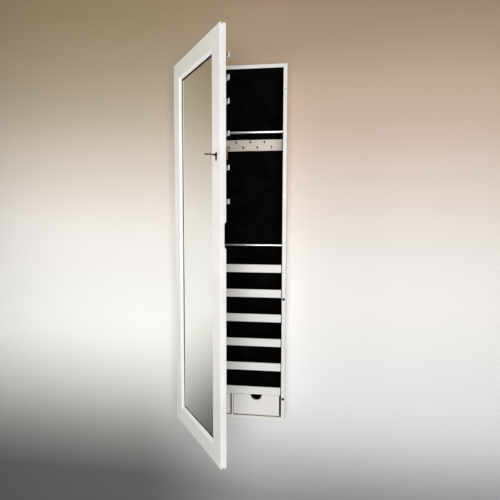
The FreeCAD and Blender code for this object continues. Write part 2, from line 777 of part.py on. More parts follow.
housing_window = block(
    ("housing_x - housing_clearance", "door_y", "housing_z - housing_clearance"),
    ("housing_width + 2 * housing_clearance", "door_velvet", "housing_height + 2 * housing_clearance"),
    True,
)
door_lining = block(
    ("-lining_half", "door_y", "floor_z + door_velvet_margin"),
    ("2 * lining_half", "door_velvet", "inside_height - 2 * door_velvet_margin"),
    True,
)
node("door_velvet_lining", cut(door_lining, housing_window))

RAIL_LENGTH = "(cabinet_width - 2 * rail_inset)"


def earring_rail(alias):
    """A channel with a flange on the door, a pierced ledge and a lip."""
    low = f"top_z - {alias}"
    end = "rail_inset - half"
    holes = [
        rod(
            (f"{end} + ({index} + 0.5) * {RAIL_LENGTH} / rail_holes", "door_velvet_y + rail_reach / 2", low),
            "rail_hole",
            "rail_sheet",
            on_door=True,
        )
        for index in range(count("rail_holes"))
    ]
    channel = fuse(
        block((end, "door_velvet_y", low), (RAIL_LENGTH, "rail_sheet", "rail_flange"), True),
        block((end, "door_velvet_y", low), (RAIL_LENGTH, "rail_reach", "rail_sheet"), True),
        block(
            (end, "door_velvet_y + rail_reach - rail_lip_thickness", low),
            (RAIL_LENGTH, "rail_lip_thickness", "rail_lip"),
            True,
        ),
    )
    return cut(channel, *holes)


node("earring_rails", group(*[earring_rail(f"rail_drop_{letter}") for letter in "abcdef"]))

# Lock: key plate and key in front, plug through the door, housing and cam behind.

waist = block(
    ("key_x - scutcheon_waist / 2", "scutcheon_y", "key_z - scutcheon_drop"),
    ("scutcheon_waist", "scutcheon_thickness", "scutcheon_drop"),
    True,
)
key_plate = fuse(
    rod(("key_x", "scutcheon_y", "key_z"), "scutcheon_head", "scutcheon_thickness", TO_BACK, True),
    waist,
    rod(
        ("key_x", "scutcheon_y", "key_z - scutcheon_drop"),
        "scutcheon_foot",
        "scutcheon_thickness",
        TO_BACK,
        True,
    ),
)
plate_hole = rod(("key_x", "scutcheon_y", "key_z"), "plug_hole", "scutcheon_thickness", TO_BACK, True)
node("lock_key_plate", cut(key_plate, plate_hole))

housing = block(
    ("housing_x", "door_y", "housing_z"), ("housing_width", "housing_depth", "housing_height"), True
)
housing_bore = rod(("key_x", "door_y", "key_z"), "plug + pin_clearance", "housing_depth", TO_BACK, True)
node("lock_housing", cut(housing, housing_bore))


def key_blade(clearance, depth):
    """The key's blade in the plug, or the keyway that it slides in."""
    width = f"(blade_width + 2 * {clearance})"
    thickness = f"(blade_thickness + 2 * {clearance})"
    return block(
        (f"key_x - {width} / 2", "scutcheon_y", f"key_z - {thickness} / 2"), (width, depth, thickness), True
    )


plug = rod(("key_x", "scutcheon_y", "key_z"), "plug", "cam_y - scutcheon_y", TO_BACK, True)
node("lock_plug", cut(plug, key_blade("keyway_clearance", "keyway_depth")))
cam_bar = block(
    ("key_x - cam_width / 2", "cam_y", "key_z"), ("cam_width", "cam_thickness", "cam_reach"), True
)
cam_eye = rod(("key_x", "cam_y", "key_z"), "cam_width / 2", "cam_thickness", TO_BACK, True)
node("lock_cam", fuse(cam_bar, cam_eye))

BOW_Y = "scutcheon_y - key_reach + bow_radius"
SHANK_Y = "scutcheon_y - shank_gap"
SHANK_LENGTH = "key_reach - shank_gap - bow_radius - bow_hole"
shank = rod(("key_x", SHANK_Y, "key_z"), "key_shank", SHANK_LENGTH, TO_FRONT, True)
neck = block(
    ("key_x - blade_width / 2", SHANK_Y, "key_z - blade_thickness / 2"),
    ("blade_width", "shank_gap", "blade_thickness"),
    True,
)
bow = cut(
    rod(("key_x", BOW_Y, "key_z - bow_thickness / 2"), "bow_radius", "bow_thickness", on_door=True),
    rod(("key_x", BOW_Y, "key_z - bow_thickness / 2"), "bow_hole", "bow_thickness", on_door=True),
)
collars = [
    rod(("key_x", f"scutcheon_y - {place}", "key_z"), "collar_radius", "collar_length", TO_FRONT, True)
    for place in ("shank_gap", "(shank_gap + 2 * collar_length)")
]
node("key", fuse(key_blade("0", "blade_length"), neck, shank, bow, *collars))

doc.recompute()
for item in doc.Objects:
    if "Invalid" in item.State or "Error" in item.State:
        raise SystemExit(f"{item.Label} failed: {item.State}")
for name, item in nodes.items():
    if item.Shape.isNull() or not item.Shape.isValid():
        raise SystemExit(f"{name} has no valid shape")
    item.Shape.exportStep(f"parts/{name}.step")
print(len(nodes), "sub-parts written")
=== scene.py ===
# %% [markdown]
# # A wall-hung jewelry cabinet with a mirror door
#
# The cabinet is a shallow white case lined with black velvet. Its door carries a mirror and stands part
# open, so the lesson is mostly about contrast: satin paint against deep pile, and bright metal against both.
# The solids that were made in CAD arrive as a fixed frame. They are measured here and never moved.

# %% Load the frame
import json
from math import pi, radians

import bmesh
import bpy
from mathutils import Matrix, Vector


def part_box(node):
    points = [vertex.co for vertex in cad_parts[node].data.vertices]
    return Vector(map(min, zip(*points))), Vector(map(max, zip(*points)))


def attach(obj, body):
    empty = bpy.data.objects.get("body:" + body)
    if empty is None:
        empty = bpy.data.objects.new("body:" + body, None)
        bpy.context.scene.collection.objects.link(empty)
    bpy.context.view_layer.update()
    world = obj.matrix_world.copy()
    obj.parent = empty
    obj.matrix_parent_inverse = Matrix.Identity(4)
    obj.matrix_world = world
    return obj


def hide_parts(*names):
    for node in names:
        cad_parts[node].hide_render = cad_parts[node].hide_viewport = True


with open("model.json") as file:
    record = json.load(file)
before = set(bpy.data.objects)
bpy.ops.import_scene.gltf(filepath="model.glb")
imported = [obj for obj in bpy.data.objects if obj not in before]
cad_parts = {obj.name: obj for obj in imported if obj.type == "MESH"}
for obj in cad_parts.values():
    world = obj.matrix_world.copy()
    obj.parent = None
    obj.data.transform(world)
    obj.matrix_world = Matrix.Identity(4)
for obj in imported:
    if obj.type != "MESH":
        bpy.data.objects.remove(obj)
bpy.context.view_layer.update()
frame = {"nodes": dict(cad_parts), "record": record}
nodes = frame["nodes"]
MM = 0.001

# %% [markdown]
# ## Materials: a small helper first
#
# Every finish starts from the same shader, so one helper makes a material with a Principled shader and
# another adds a noise pattern in object coordinates. Three more turn the pattern into a colour, a number or
# a relief. Values that are the same all over the surface are set straight on the shader, and only what
# varies is wired to a pattern.

# %% A material and a pattern


def finish(name, **values):
    """A material whose Principled shader has these plain values."""
    material = bpy.data.materials.new(name)
    material.use_nodes = True
    shader = material.node_tree.nodes["Principled BSDF"]
    for socket, value in values.items():
        shader.inputs[socket.replace("_", " ")].default_value = value
    return material, shader


def pattern(material, scale, detail=2.0, stretch=(1, 1, 1), distortion=0.0):
    """The factor of a noise in object coordinates, with cells of about 1 / scale metres."""
    tree = material.node_tree
    place = tree.nodes.new("ShaderNodeTexCoord")
    mapping = tree.nodes.new("ShaderNodeMapping")
    mapping.inputs["Scale"].default_value = stretch
    noise = tree.nodes.new("ShaderNodeTexNoise")
    noise.inputs["Scale"].default_value = scale
    noise.inputs["Detail"].default_value = detail
    noise.inputs["Distortion"].default_value = distortion
    tree.links.new(place.outputs["Object"], mapping.inputs["Vector"])
    tree.links.new(mapping.outputs["Vector"], noise.inputs["Vector"])
    return noise.outputs["Fac"]


def shades(material, factor, dark, light, low=0.35, high=0.65):
    """A colour that runs from dark to light as the factor runs from low to high."""
    ramp = material.node_tree.nodes.new("ShaderNodeValToRGB")
    first, last = ramp.color_ramp.elements
    first.position, last.position = low, high
    first.color, last.color = (*dark, 1), (*light, 1)
    material.node_tree.links.new(factor, ramp.inputs["Fac"])
    return ramp.outputs["Color"]


def span(material, factor, low, high):
    """A number that runs from low to high with the factor."""
    ranged = material.node_tree.nodes.new("ShaderNodeMapRange")
    ranged.inputs["To Min"].default_value = low
    ranged.inputs["To Max"].default_value = high
    material.node_tree.links.new(factor, ranged.inputs["Value"])
    return ranged.outputs["Result"]


def relief(material, factor, height, strength=1.0, under=None):
    """A normal from a pattern that is this many metres high, laid over another normal."""
    bump = material.node_tree.nodes.new("ShaderNodeBump")
    bump.inputs["Strength"].default_value = strength
    bump.inputs["Distance"].default_value = height
    material.node_tree.links.new(factor, bump.inputs["Height"])
    if under:
        material.node_tree.links.new(under, bump.inputs["Normal"])
    return bump.outputs["Normal"]


def wire(material, shader, **sockets):
    """Connect patterns to the shader's sockets."""
    for socket, output in sockets.items():
        material.node_tree.links.new(output, shader.inputs[socket.replace("_", " ")])
    return material


print("helpers for", ", ".join(helper.__name__ for helper in (finish, pattern, shades, span, relief, wire)))

# %% [markdown]
# ## Satin white paint
#
# The case and the door are fibreboard, sprayed white and left satin. Sprayed paint is never quite even: it
# has a fine orange peel about a millimetre across, its gloss varies a little, and the white drifts by a
# shade over a hand's breadth.

# %% Painted boards


def satin_paint(name, shadow_tone, tone):
    material, shader = finish(name, IOR=1.5, Coat_Weight=0.12, Coat_Roughness=0.25)
    drift = pattern(material, 9, 3)
    peel = pattern(material, 850, 2)
    brush = pattern(material, 60, 4, (1, 1, 0.25))
    normal = relief(material, brush, 0.00006, 0.35)
    normal = relief(material, peel, 0.00003, 0.6, normal)
    return wire(
        material,
        shader,
        Base_Color=shades(material, drift, shadow_tone, tone, 0.3, 0.7),
        Roughness=span(material, brush, 0.3, 0.5),
        Normal=normal,
    )


white_paint = satin_paint("satin_white_paint", (0.80, 0.795, 0.775), (0.86, 0.855, 0.84))
beige_paint = satin_paint("beige_white_paint", (0.68, 0.60, 0.53), (0.76, 0.68, 0.61))
print("paints:", white_paint.name, "and", beige_paint.name)

# %% [markdown]
# ## Black velvet
#
# Velvet is dark because its pile swallows light, and it only shows at grazing angles, where the tips of the
# fibres catch some. Sheen does that. A fine bump stands for the pile, and a slow pattern for the places
# where it was stroked another way.

# %% Flocked and lined surfaces


def black_velvet():
    material, shader = finish("black_velvet", Roughness=0.95, Sheen_Weight=0.015, Sheen_Roughness=0.35)
    shader.inputs["Specular IOR Level"].default_value = 0.03
    stroke = pattern(material, 14, 3, distortion=0.6)
    pile = pattern(material, 2600, 2)
    return wire(
        material,
        shader,
        Base_Color=shades(material, stroke, (0.0012, 0.0012, 0.0014), (0.0035, 0.0035, 0.004)),
        Normal=relief(material, pile, 0.0003, 0.8),
    )


velvet = black_velvet()
print("lining:", velvet.name)

# %% [markdown]
# ## Bare hardboard
#
# Nobody sees the back of a wall cabinet, so it is left bare: brown hardboard with dark and pale fibres.

# %% The back of the case


def bare_hardboard():
    material, shader = finish("bare_hardboard", Roughness=0.78)
    fibre = pattern(material, 420, 6, (1, 1, 0.35))
    cloud = pattern(material, 7, 3)
    normal = relief(material, fibre, 0.00015, 0.6)
    normal = relief(material, cloud, 0.0006, 0.15, normal)
    return wire(
        material,
        shader,
        Base_Color=shades(material, fibre, (0.20, 0.125, 0.07), (0.36, 0.24, 0.14)),
        Normal=normal,
    )


hardboard = bare_hardboard()
print("back:", hardboard.name)

# %% [markdown]
# ## Metals
#
# The metals are told apart by colour and by how their gloss breaks up: dark bronze with worn, warmer
# patches on the key, the hooks and the lock's plates, and a redder copy of it on the lock's box, painted
# lighter because the box is lit while the key lies in shade; bright plating on the two rods and their
# sockets, with faint rings from drawing the tube; cloudy zinc on hinges, hangers and strike plates; and
# plain grey magnets.

# %% Bronze, plating, zinc and magnet grey
GRAIN_DEPTH = 0.00001


def metal(name, dark, light, patch, gloss, grain, stretch=(1, 1, 1)):
    """A metal with patches of two tones, a range of roughness and a fine grain."""
    material, shader = finish(name, Metallic=1.0)
    cloud = pattern(material, patch, 4)
    scratch = pattern(material, grain, 3, stretch)
    return wire(
        material,
        shader,
        Base_Color=shades(material, cloud, dark, light),
        Roughness=span(material, scratch, *gloss),
        Normal=relief(material, scratch, GRAIN_DEPTH, 0.5),
    )


bronze = metal(
    "dark_bronze", (0.030, 0.018, 0.013), (0.10, 0.058, 0.042), patch=220, gloss=(0.32, 0.54), grain=1500
)
# painted light: a lighter, redder copy of the bronze for the lock's box, which is lit while the key lies in
# shade
lit_bronze_copy = metal(
    "lit_bronze_copy", (0.16, 0.085, 0.066), (0.30, 0.17, 0.135), patch=160, gloss=(0.38, 0.58), grain=1200
)
plating = metal(
    "bright_plating",
    (0.86, 0.86, 0.85),
    (0.93, 0.93, 0.92),
    patch=40,
    gloss=(0.22, 0.34),
    grain=900,
    stretch=(9, 0.4, 0.4),
)
zinc = metal(
    "zinc_plate",
    (0.42, 0.43, 0.44),
    (0.60, 0.61, 0.61),
    patch=160,
    gloss=(0.3, 0.5),
    grain=700,
    stretch=(1, 1, 0.2),
)
magnet_grey = metal(
    "magnet_grey", (0.36, 0.365, 0.37), (0.46, 0.465, 0.47), patch=300, gloss=(0.35, 0.5), grain=1200
)
print("metals:", ", ".join(one.name for one in (bronze, lit_bronze_copy, plating, zinc, magnet_grey)))

# %% [markdown]
# ## Mirror, rubber and moulded plastic
#
# The mirror is silvered glass: a smooth metal with a breath of green. The seal round it is a near-black
# strip that is painted shadow: it stands for the shade in the gap between the frame's moulding and the
# glass. The two bumpers are rubber, and the earring rails are smooth white plastic.

# %% The remaining finishes


def silvered_glass():
    material, shader = finish("silvered_glass", Metallic=1.0, Roughness=0.015)
    haze = pattern(material, 5, 2)
    return wire(
        material, shader, Base_Color=shades(material, haze, (0.91, 0.93, 0.91), (0.94, 0.955, 0.94))
    )


def moulded(name, dark, light, rough, grain_height):
    """Rubber or plastic with a fine moulded grain."""
    material, shader = finish(name)
    cloud = pattern(material, 30, 2)
    grain = pattern(material, 1400, 2)
    return wire(
        material,
        shader,
        Base_Color=shades(material, cloud, dark, light),
        Roughness=span(material, grain, *rough),
        Normal=relief(material, grain, grain_height, 0.5),
    )


mirror_glass = silvered_glass()
# painted shadow: the near-black strip round the mirror stands for the shaded gap between moulding and glass
shadow_gap_strip = moulded(
    "shadow_gap_strip", (0.006, 0.004, 0.003), (0.012, 0.008, 0.006), rough=(0.7, 0.85), grain_height=0.00002
)
bumper_rubber = moulded(
    "bumper_rubber", (0.012, 0.012, 0.012), (0.022, 0.022, 0.022), rough=(0.6, 0.8), grain_height=0.00004
)
rail_plastic = moulded(
    "rail_plastic", (0.80, 0.80, 0.785), (0.84, 0.84, 0.825), rough=(0.22, 0.34), grain_height=0.00001
)
print("and", ", ".join(one.name for one in (mirror_glass, shadow_gap_strip, bumper_rubber, rail_plastic)))

# %% [markdown]
# ## Every solid gets its finish
#
# The record names a material slot for each node and a body for each node. A table from slot to finish is
# enough to dress all the solids at once, and the pieces that are made later read the same tables.

# %% Dress the solids
FINISHES = {
    "white_paint": white_paint,
    "beige_board": beige_paint,
    "black_velvet": velvet,
    "flocked_board": velvet,
    "raw_fibreboard": hardboard,
    "dark_bronze": bronze,
    "bright_rod": plating,
    "plated_steel": zinc,
    "magnet_grey": magnet_grey,
    "black_rubber": bumper_rubber,
    "mirror": mirror_glass,
    "dark_seal": shadow_gap_strip,
    "white_plastic": rail_plastic,
}
SLOT_OF = {part["node"]: part["material_slot"] for part in frame["record"]["subparts"]}
BODY_OF = {node: body for body, group in frame["record"]["behaviour"]["bodies"].items() for node in group}
for name, solid in nodes.items():
    solid.data.materials.clear()
    solid.data.materials.append(FINISHES[SLOT_OF[name]])
print(len(FINISHES), "finishes on", len(nodes), "solids")

# %% [markdown]
# ## Softened edges
#
# A board that was cut, sanded and painted has no sharp edge: paint pulls back from it, and the edge becomes
# a thin bright line. The CAD solids have sharp edges, and their surface arrives as loose triangles, which
# can't be bevelled well. So a solid is copied and its triangles are merged into whole flat faces first. A
# second helper turns any finished mesh into a piece that has a finish and moves with a body.

# %% Copy a solid, and make a piece
SAME_POINT = 0.002 * MM
SAME_PLANE = radians(0.5)


def as_piece(edit, name, body, slot, smooth=None):
    """A finished bmesh as a piece that rides on a body, shaded smooth below an angle."""
    bmesh.ops.recalc_face_normals(edit, faces=edit.faces)
    mesh = bpy.data.meshes.new(name)
    edit.to_mesh(mesh)
    edit.free()
    mesh.materials.append(FINISHES[slot])
    if smooth:
        mesh.shade_smooth()
        mesh.set_sharp_from_angle(angle=radians(smooth))
    piece = bpy.data.objects.new(name, mesh)
    bpy.context.scene.collection.objects.link(piece)
    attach(piece, body)
    return piece


def whole_faces(node):
    """The solid's surface with its triangles merged into whole flat faces."""
    edit = bmesh.new()
    edit.from_mesh(nodes[node].data)
    bmesh.ops.remove_doubles(edit, verts=edit.verts, dist=SAME_POINT)
    bmesh.ops.dissolve_limit(edit, angle_limit=SAME_PLANE, verts=edit.verts, edges=edit.edges)
    return edit


example = whole_faces("side_panel_left")
print("the left side panel has", len(example.faces), "whole faces")
example.free()

# %% [markdown]
# ## Bevelling the copy
#
# Only edges where two faces meet sharply are bevelled. The bevel cuts into the board and adds nothing
# outside it, so the board keeps its size. The finished copy then stands for the solid, which stays hidden
# for collision.

# %% Bevel sharp edges, and replace the solid


def rounded(edit, width, segments=2, sharper_than=25, longer_than=0.0):
    """Bevel the sharp edges that are longer than a given length."""
    edges = [
        edge
        for edge in edit.edges
        if edge.is_manifold
        and edge.calc_face_angle(0) > radians(sharper_than)
        and edge.calc_length() > longer_than
    ]
    bmesh.ops.bevel(
        edit,
        geom=edges,
        offset=width,
        offset_type="OFFSET",
        segments=segments,
        profile=0.5,
        affect="EDGES",
        clamp_overlap=True,
        material=-1,
    )


def softened(node, width, **limits):
    """A copy of a solid with rounded edges, in the solid's place."""
    edit = whole_faces(node)
    rounded(edit, width, **limits)
    piece = as_piece(edit, f"{node}_finished", BODY_OF[node], SLOT_OF[node])
    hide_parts(node)
    print(piece.name, len(piece.data.polygons), "faces")


# %% [markdown]
# ## The boards
#
# Thick paint rounds the free edge of a shelf lip more than a mitred member of the door's frame, which has to
# meet its neighbour closely. So each board has its own width of bevel.

# %% Soften the boards
# the width of each board's softened edge, in millimetres
BOARDS = {
    "side_panel_left": 0.8,
    "side_panel_right": 0.8,
    "top_panel": 0.8,
    "bottom_panel": 0.8,
    "hook_board": 1.2,
    "drawer_divider": 0.6,
    "drawer_left_front": 0.9,
    "drawer_right_front": 0.9,
    "door_hinge_stile": 0.5,
    "door_lock_stile": 0.5,
    "door_top_rail": 0.5,
    "door_bottom_rail": 0.5,
    "door_back_board": 0.5,
}
for number in range(1, 7):
    BOARDS[f"shelf_lip_{number}"] = 1.2
for name, width in BOARDS.items():
    softened(name, width * MM)
print(len(BOARDS), "boards softened")

# %% [markdown]
# ## Small parts with a rounded rim
#
# The rod sockets, the wall hangers, the keeper, the hinge pins, the strike plates and the rails are stamped
# or moulded. Where a limit above zero is given, only edges longer than it are rounded. That leaves the
# short segments round the holes alone and keeps the holes crisp.

# %% Sockets, hangers, plates, pins and rails
# the width of the rounded rim and the length that an edge must pass to get one, in millimetres
SMALL_PARTS = {
    "rod_sockets": (0.5, 0.0),
    "lock_keeper_plate": (0.25, 5.0),
    "wall_hangers": (0.3, 4.0),
    "hinge_pins": (0.3, 0.0),
    "earring_rails": (0.4, 20.0),
    "magnet_strike_plates": (0.25, 0.0),
}
for name, (width, longer_than) in SMALL_PARTS.items():
    softened(name, width * MM, longer_than=longer_than * MM)
print(len(SMALL_PARTS), "small parts softened")

# %% [markdown]
# ## Bent hooks
#
# Eleven small hooks hold the necklaces. A real one is a bit of wire bent upwards in a curve, with a
# flat rose where it enters the board. A circle of a few vertices is pushed out of the board, spun through a
# quarter turn, pushed up, and closed with a rounded tip. Three helpers do these steps on a rim of edges.

# %% Push a rim, turn it and close it
# how far each step of a rounded tip rises, in radii, and how much it shrinks the rim
TIP_STEPS = ((0.5, 0.866), (0.366, 0.577), (0.1, 0.4))


def rim_of(result, key="geom"):
    """The edges in what an operator returned."""
    return [part for part in result[key] if isinstance(part, bmesh.types.BMEdge)]


def push(edit, rim, by, scale=1.0):
    """Extrude a rim along a vector, and shrink it about its own middle."""
    rim = rim_of(bmesh.ops.extrude_edge_only(edit, edges=rim))
    verts = list({vert for edge in rim for vert in edge.verts})
    bmesh.ops.translate(edit, verts=verts, vec=by)
    if scale != 1.0:
        middle = sum((vert.co for vert in verts), Vector()) / len(verts)
        bmesh.ops.scale(edit, verts=verts, vec=(scale, scale, scale), space=Matrix.Translation(-middle))
    return rim


def turn(edit, rim, centre, axis, angle, steps):
    """Spin a rim about an axis, and return the rim it ends on."""
    verts = list({vert for edge in rim for vert in edge.verts})
    result = bmesh.ops.spin(
        edit, geom=verts + rim, cent=centre, axis=axis, angle=angle, steps=steps, use_duplicate=False
    )
    return rim_of(result, "geom_last")


def round_end(edit, rim, along, radius):
    """Close a rim with a half ball in three steps."""
    for rise, shrink in TIP_STEPS:
        rim = push(edit, rim, along * radius * rise, shrink)
    bmesh.ops.edgeloop_fill(edit, edges=rim)


print("a rounded tip has", len(TIP_STEPS), "steps")

# %% [markdown]
# ## Where the hooks are
#
# All hooks are separate solids of one node, so the node's own box says nothing about a single hook. Walking
# from vertex to vertex along the edges collects one hook at a time, and its box gives the place and the
# size of the bent one that stands for it.

# %% Find each hook


def loose_boxes(node):
    """The lowest and highest corner of each separate solid of a node."""
    edit = whole_faces(node)
    waiting = set(edit.verts)
    boxes = []
    while waiting:
        stack = [waiting.pop()]
        found = []
        while stack:
            vert = stack.pop()
            found.append(vert.co.copy())
            for edge in vert.link_edges:
                other = edge.other_vert(vert)
                if other in waiting:
                    waiting.discard(other)
                    stack.append(other)
        boxes.append(
            (
                Vector([min(co[axis] for co in found) for axis in range(3)]),
                Vector([max(co[axis] for co in found) for axis in range(3)]),
            )
        )
    edit.free()
    return sorted(boxes, key=lambda box: tuple(box[0]))


hook_boxes = loose_boxes("necklace_hooks")
print(len(hook_boxes), "hooks found in the solids")

# %% [markdown]
# ## Bending the wires
#
# Each hook is made to fill the box that was found: the rose is as wide as the box, the wire reaches its
# front, and the tip ends at its top. All of them go into one mesh, because they are one node.

# %% Bend the wires
FRONTWARDS, UPWARDS = Vector((0, -1, 0)), Vector((0, 0, 1))
WIRE = 1.5 * MM
ROSE_THICKNESS = 1.0 * MM
BEND = 2.4 * MM
ROSE_SIDES, WIRE_SIDES, BEND_STEPS = 20, 14, 7
ROSE_SHOULDER, ROSE_FACE = 0.6, 0.82


def bent_hook(edit, low, high):
    """A rose and a wire that fill a hook's box."""
    across = (low.x + high.x) / 2
    rose = (high.x - low.x) / 2
    height = low.z + rose
    tip_y = low.y + WIRE
    facing = Matrix.Rotation(pi / 2, 4, "X")
    flat = bmesh.ops.create_circle(
        edit, segments=ROSE_SIDES, radius=rose, matrix=Matrix.Translation((across, high.y, height)) @ facing
    )["verts"]
    rim = list({edge for vert in flat for edge in vert.link_edges})
    rim = push(edit, rim, FRONTWARDS * ROSE_THICKNESS * ROSE_SHOULDER)
    rim = push(edit, rim, FRONTWARDS * ROSE_THICKNESS * (1 - ROSE_SHOULDER), ROSE_FACE)
    bmesh.ops.edgeloop_fill(edit, edges=rim)
    round_wire = bmesh.ops.create_circle(
        edit, segments=WIRE_SIDES, radius=WIRE, matrix=Matrix.Translation((across, high.y, height)) @ facing
    )["verts"]
    rim = list({edge for vert in round_wire for edge in vert.link_edges})
    rim = push(edit, rim, FRONTWARDS * (high.y - tip_y - BEND))
    centre = (across, tip_y + BEND, height + BEND)
    rim = turn(edit, rim, centre, (1, 0, 0), -pi / 2, BEND_STEPS)
    rim = push(edit, rim, UPWARDS * (high.z - WIRE - height - BEND))
    round_end(edit, rim, UPWARDS, WIRE)


edit = bmesh.new()
for low, high in hook_boxes:
    bent_hook(edit, low, high)
hooks = as_piece(edit, "bent_hooks", "case", "dark_bronze", smooth=35)
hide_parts("necklace_hooks")
print("bent hooks:", len(hooks.data.polygons), "faces")

# %% [markdown]
# ## Working on the door as if it were shut
#
# The door stands open at an odd angle, which makes every measure on it awkward. The record says how far the
# door is from shut, so two matrices carry points from the open door to the shut one and back. A
# piece is built square to the shut door, and swung open as its last step.

# %% Shut and open
hinge = next(joint for joint in frame["record"]["behaviour"]["joints"] if joint["name"] == "door_hinge")
pin = Matrix.Translation(Vector(hinge["pos_m"]))
OPEN = pin @ Matrix.Rotation(radians(hinge["range_deg"][0]), 4, "Z") @ pin.inverted()
SHUT = OPEN.inverted()


def shut_box(node):
    """The box of a node of the door, with the door shut."""
    points = [SHUT @ vert.co for vert in nodes[node].data.vertices]
    return (
        Vector([min(point[axis] for point in points) for axis in range(3)]),
        Vector([max(point[axis] for point in points) for axis in range(3)]),
    )


def swung_open(edit):
    """Carry a finished bmesh from the shut door to the open one."""
    bmesh.ops.transform(edit, matrix=OPEN, verts=edit.verts)
    return edit


key_low, key_high = shut_box("key")
print("key, door shut:", [round(value / MM, 1) for value in (*key_low, *key_high)])

# %% [markdown]
# ## The key plate
#
# The plate under the key is stamped from sheet and narrows evenly from its round head to its small foot.
# The solid has a narrow waist there. So its copy is swung shut, every point of the outline between head and
# foot is slid out to the straight taper, and the edges are rounded. The hole for the plug stays where it
# is, because points within its rim aren't slid.

# %% Slide the outline out to a taper
PLATE_HEAD, PLATE_FOOT, PLATE_DROP = 6.5 * MM, 3.5 * MM, 12.5 * MM
HOLE_RIM = 4.0 * MM
PLATE_EDGE = 0.35 * MM
plate_low, plate_high = shut_box("lock_key_plate")
plate_x, plate_z = (plate_low.x + plate_high.x) / 2, plate_high.z - PLATE_HEAD
edit = whole_faces("lock_key_plate")
bmesh.ops.transform(edit, matrix=SHUT, verts=edit.verts)
for vert in edit.verts:
    across, down = vert.co.x - plate_x, plate_z - vert.co.z
    if 0 < down < PLATE_DROP and Vector((across, down)).length > HOLE_RIM:
        taper = PLATE_HEAD + (PLATE_FOOT - PLATE_HEAD) * down / PLATE_DROP
        vert.co.x = plate_x + (taper if across > 0 else -taper)
rounded(edit, PLATE_EDGE)
key_plate = as_piece(swung_open(edit), "tapered_key_plate", "door", "dark_bronze")
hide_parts("lock_key_plate")
print("key plate:", len(key_plate.data.polygons), "faces")

# %% [markdown]
# ## Turned solids and bars
#
# Two more helpers serve the key and the lock. A solid of revolution is a profile of a few vertices, spun
# once round a line and merged where it meets itself. A bar is a cube that is stretched between two corners.

# %% A turned solid and a bar


def turned(edit, line, profile, steps=24):
    """A solid of revolution about a line along Y, from (y, radius) pairs that start and end at the line."""
    verts = [edit.verts.new((line.x + radius, y, line.z)) for y, radius in profile]
    edges = [edit.edges.new(pair) for pair in zip(verts, verts[1:])]
    bmesh.ops.spin(
        edit,
        geom=verts + edges,
        cent=(line.x, 0, line.z),
        axis=(0, 1, 0),
        angle=2 * pi,
        steps=steps,
        use_merge=True,
        use_duplicate=False,
    )
    bmesh.ops.remove_doubles(edit, verts=edit.verts, dist=0.01 * MM)


def bar(edit, low, high):
    """A block between two corners."""
    low, high = Vector(low), Vector(high)
    place = Matrix.Translation((high + low) / 2) @ Matrix.Diagonal((*(high - low), 1))
    bmesh.ops.create_cube(edit, size=1, matrix=place)


print("helpers for", turned.__name__, "solids and a", bar.__name__)

# %% [markdown]
# ## The key
#
# The key stands out of the door and is seen edge on. Its shank is turned, with two collars near the lock,
# and thins towards the bow. The profile is a short table of distances and radii.

# %% Turn the shank
KEY_LINE = Vector(((key_low.x + key_high.x) / 2, 0, (key_low.z + key_high.z) / 2))
BOW_LENGTH = 23 * MM
PLATE_GAP = 0.3 * MM
BOW_OVERLAP = 1.5 * MM
# the distance from the shank's rear end and the radius there, in millimetres
SHANK = (
    (0, 2.7),
    (0.4, 3.1),
    (1.5, 3.1),
    (2.0, 2.4),
    (3.2, 2.3),
    (3.5, 3.0),
    (4.9, 3.0),
    (5.4, 2.2),
    (8.0, 1.9),
)
SHANK_TIP = 1.7 * MM
start = plate_low.y - PLATE_GAP
shank_end = key_low.y + BOW_LENGTH - BOW_OVERLAP
edit = bmesh.new()
profile = [(start - along * MM, radius * MM) for along, radius in SHANK]
turned(edit, KEY_LINE, [(start, 0), *profile, (shank_end, SHANK_TIP), (shank_end, 0)])
print("shank:", round((start - shank_end) / MM, 1), "mm long")

# %% [markdown]
# ## The key's bow and blade
#
# The bow is a slim oval loop, so light shows through it: a small circle spun once round and then stretched
# along the key. The blade is a plain flat bar, because it stays in the lock until the key is pulled out.

# %% Spin the bow and add the blade
BOW_WIRE = 1.0 * MM
BOW_SIDES, BOW_STEPS = 12, 40
BLADE_WIDTH, BLADE_THICKNESS = 4.4 * MM, 1.6 * MM
BLADE_OVERLAP = 0.1 * MM
bow_radius = (key_high.x - key_low.x) / 2
ring = bmesh.ops.create_circle(
    edit,
    segments=BOW_SIDES,
    radius=BOW_WIRE,
    matrix=Matrix.Translation((bow_radius - BOW_WIRE, 0, 0)) @ Matrix.Rotation(pi / 2, 4, "X"),
)["verts"]
rim = list({edge for vert in ring for edge in vert.link_edges})
shank = set(edit.verts) - set(ring)
bmesh.ops.spin(
    edit,
    geom=ring + rim,
    cent=(0, 0, 0),
    axis=(0, 0, 1),
    angle=2 * pi,
    steps=BOW_STEPS,
    use_merge=True,
    use_duplicate=False,
)
bow = [vert for vert in edit.verts if vert not in shank]
oval = Matrix.Translation((KEY_LINE.x, key_low.y + BOW_LENGTH / 2, KEY_LINE.z))
oval = oval @ Matrix.Diagonal((1, BOW_LENGTH / (2 * bow_radius), 1, 1))
bmesh.ops.transform(edit, matrix=oval, verts=bow)
bar(
    edit,
    (KEY_LINE.x - BLADE_WIDTH / 2, start - BLADE_OVERLAP, KEY_LINE.z - BLADE_THICKNESS / 2),
    (KEY_LINE.x + BLADE_WIDTH / 2, key_high.y, KEY_LINE.z + BLADE_THICKNESS / 2),
)
key = as_piece(swung_open(edit), "key_with_oval_bow", "key", "dark_bronze", smooth=40)
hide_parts("key")
print("key:", len(key.data.polygons), "faces")

# %% [markdown]
# ## The lock's case
#
# Behind the door sits the lock's small box, with a pressed cover and two screws. It gets a redder copy of
# the key's bronze, painted lighter because the box is lit while the key lies in shade. A rounded block gets
# the cover's edge by insetting its rear face and pushing it back in a little. The screws lie where the
# turning cam never passes over them.

